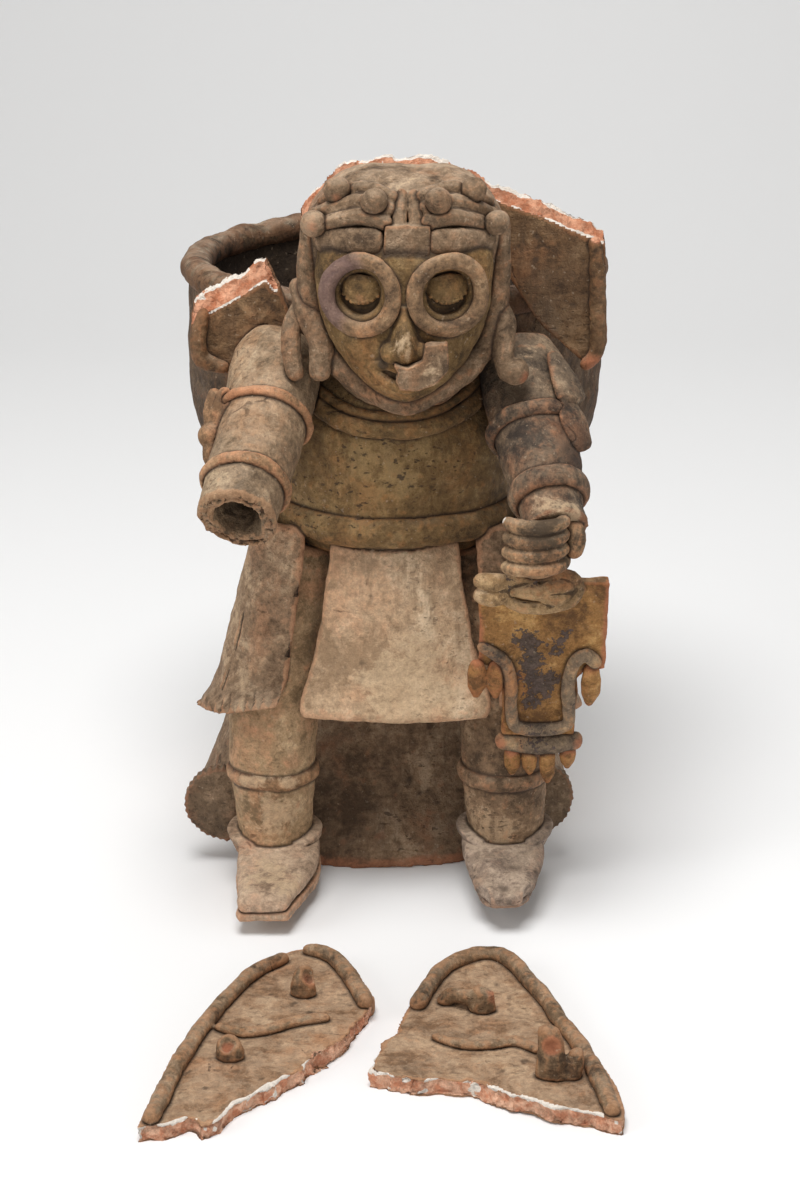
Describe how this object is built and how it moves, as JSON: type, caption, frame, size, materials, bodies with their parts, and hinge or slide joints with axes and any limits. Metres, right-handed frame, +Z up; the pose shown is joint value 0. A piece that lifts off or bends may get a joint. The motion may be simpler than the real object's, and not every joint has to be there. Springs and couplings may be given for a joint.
{
  "type": "effigy censer",
  "caption": "Fired-clay incense burner: an hourglass vessel with a goggled figure on its front holding a bag, and loose headdress pieces beside it.",
  "frame": {"origin": "on the vessel's axis in the plane of its foot ring", "axes": "+Z up along the vessel's axis, -Y the way the figure faces, +X towards the figure's left hand"},
  "size_m": [0.313, 0.6924, 0.521],
  "materials": {
    "clay_dark": "matte",
    "clay_tan": "matte",
    "clay_grey": "matte",
    "clay_pale": "matte",
    "clay_pink": "matte",
    "clay_ochre": "matte"
  },
  "bodies": {
    "censer": {"base_drum": "clay_dark", "fire_bowl": "clay_tan", "rim_coil": "clay_tan", "right_rosette": "clay_tan", "left_rosette": "clay_tan", "torso": "clay_grey", "collar": "clay_grey", "inner_collar": "clay_grey", "belt": "clay_grey", "apron": "clay_pale", "right_hip_flap": "clay_tan", "left_hip_flap": "clay_tan", "right_arm": "clay_tan", "right_upper_band": "clay_pink", "right_lower_band": "clay_pink", "right_arm_tassel": "clay_tan", "left_arm": "clay_tan", "left_upper_band": "clay_pink", "left_wrist_band": "clay_pink", "left_arm_tassel": "clay_tan", "left_hand": "clay_tan", "left_fingers": "clay_tan", "bag_handle": "clay_ochre", "bag_plate": "clay_ochre", "bag_strip": "clay_ochre", "bag_band": "clay_ochre", "bag_tassels": "clay_ochre", "right_leg": "clay_tan", "left_leg": "clay_tan", "right_garter": "clay_pink", "left_garter": "clay_pink", "right_anklet": "clay_tan", "left_anklet": "clay_tan", "right_foot": "clay_pink", "left_foot": "clay_pink", "right_sole": "clay_tan", "left_sole": "clay_tan", "hood": "clay_grey", "face": "clay_grey", "face_frame": "clay_tan", "brow_band": "clay_grey", "brow_block": "clay_grey", "brow_cords": "clay_tan", "brow_knobs": "clay_tan", "right_goggle": "clay_grey", "left_goggle": "clay_grey", "right_eye": "clay_grey", "left_eye": "clay_grey", "nose": "clay_grey", "nose_plate": "clay_tan", "lips": "clay_grey", "right_ear_loop": "clay_tan", "left_ear_loop": "clay_tan", "headdress_panel": "clay_tan", "right_wing_stub": "clay_tan", "wing_coils": "clay_tan"},
    "right_piece": {"right_fragment": "clay_tan", "right_fragment_trim": "clay_tan"},
    "left_piece": {"left_fragment": "clay_tan", "left_fragment_trim": "clay_tan"}
  },
  "joints": [
    {"name": "right_piece_lift", "type": "slide", "parent": "censer", "child": "right_piece", "axis": [0, 0, 1], "range_m": [0, 0.2]},
    {"name": "left_piece_lift", "type": "slide", "parent": "censer", "child": "left_piece", "axis": [0, 0, 1], "range_m": [0, 0.2]}
  ]
}
